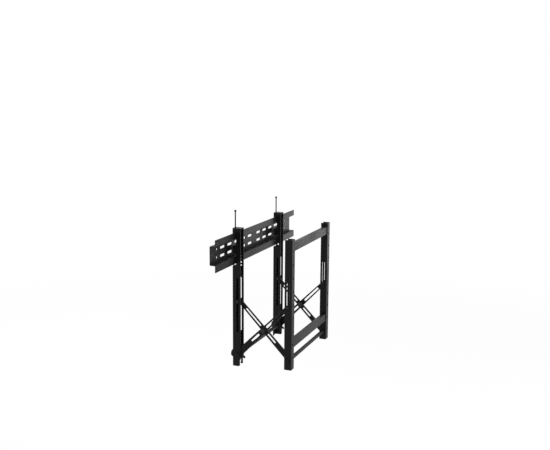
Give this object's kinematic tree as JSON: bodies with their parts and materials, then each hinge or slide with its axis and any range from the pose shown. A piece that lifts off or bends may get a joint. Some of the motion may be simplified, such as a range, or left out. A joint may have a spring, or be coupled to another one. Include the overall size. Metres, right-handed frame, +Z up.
{
  "type": "video wall mount",
  "caption": "Pop-out video wall mount: slotted wall rail, two hooked brackets with adjusting screws and feet, scissor arms and a display frame, shown popped out",
  "frame": {"origin": "centre of the rail's slot pattern on the wall plane", "axes": "+Z up, +X to the right seen facing the wall, -Y out of the wall into the room"},
  "size_m": [0.77, 0.246, 0.5963],
  "materials": {
    "black_coat": "satin black powder coat with a fine grain",
    "black_zinc": "black zinc plated steel, low sheen",
    "rubber": "matt black rubber",
    "nylon": "black moulded nylon"
  },
  "bodies": {
    "rail": {"wall_rail": "black_coat"},
    "wall_carriage": {"bracket_left": "black_coat", "bracket_right": "black_coat", "lift_nuts": "black_zinc", "rail_catch_left": "black_coat", "rail_catch_right": "black_coat", "catch_screws": "black_zinc", "wall_bushes": "nylon", "latch_pins": "black_zinc"},
    "height_screw_left": {"height_screw_left": "black_zinc"},
    "height_screw_right": {"height_screw_right": "black_zinc"},
    "foot_left": {"foot_left": "black_coat", "foot_pad_left": "rubber"},
    "foot_right": {"foot_right": "black_coat", "foot_pad_right": "rubber"},
    "latch_left": {"latch_lever_left": "black_coat"},
    "latch_right": {"latch_lever_right": "black_coat"},
    "outer_arms": {"outer_arm_left": "black_coat", "outer_arm_right": "black_coat", "wall_torque_tube": "black_coat", "mid_pins": "black_zinc", "mid_spacers": "nylon", "display_roller_pins": "black_zinc", "display_rollers": "nylon"},
    "inner_arms": {"inner_arm_left": "black_coat", "inner_arm_right": "black_coat", "display_torque_tube": "black_coat", "wall_roller_pins": "black_zinc", "wall_rollers": "nylon"},
    "display_frame": {"display_channel_left": "black_coat", "display_channel_right": "black_coat", "display_bushes": "nylon", "crossbar_high": "black_coat", "crossbar_low": "black_coat", "crossbar_screws": "black_zinc", "strikers": "black_zinc"}
  },
  "joints": [
    {"name": "lateral_shift", "type": "slide", "parent": "rail", "child": "wall_carriage", "axis": [1, 0, 0], "range_m": [-0.11, 0.11]},
    {"name": "height_screw_left", "type": "slide", "parent": "wall_carriage", "child": "height_screw_left", "axis": [0, 0, 1], "range_m": [0, 0.01]},
    {"name": "height_screw_right", "type": "slide", "parent": "wall_carriage", "child": "height_screw_right", "axis": [0, 0, 1], "range_m": [0, 0.01]},
    {"name": "foot_left", "type": "slide", "parent": "wall_carriage", "child": "foot_left", "axis": [0, -1, 0], "range_m": [0, 0.002]},
    {"name": "foot_right", "type": "slide", "parent": "wall_carriage", "child": "foot_right", "axis": [0, -1, 0], "range_m": [0, 0.002]},
    {"name": "latch_left", "type": "hinge", "parent": "wall_carriage", "child": "latch_left", "pos_m": [-0.2, -0.038, -0.4248], "axis": [1, 0, 0], "range_deg": [0, 10]},
    {"name": "latch_right", "type": "hinge", "parent": "wall_carriage", "child": "latch_right", "pos_m": [0.2, -0.038, -0.4248], "axis": [1, 0, 0], "range_deg": [0, 10]},
    {"name": "pop_out", "type": "hinge", "parent": "wall_carriage", "child": "outer_arms", "pos_m": [0, -0.0275, -0.412], "axis": [-1, 0, 0], "range_deg": [0, 38.93]},
    {"name": "scissor_middle", "type": "hinge", "parent": "outer_arms", "child": "inner_arms", "pos_m": [0, -0.12925, -0.30869], "axis": [-1, 0, 0], "range_deg": [-77.85, 0]},
    {"name": "frame_hinge", "type": "hinge", "parent": "inner_arms", "child": "display_frame", "pos_m": [0, -0.231, -0.412], "axis": [-1, 0, 0], "range_deg": [0, 38.93]}
  ],
  "couplings": [
    {"joint": "scissor_middle", "follows": "pop_out", "ratio": -2},
    {"joint": "frame_hinge", "follows": "pop_out", "ratio": 1}
  ]
}
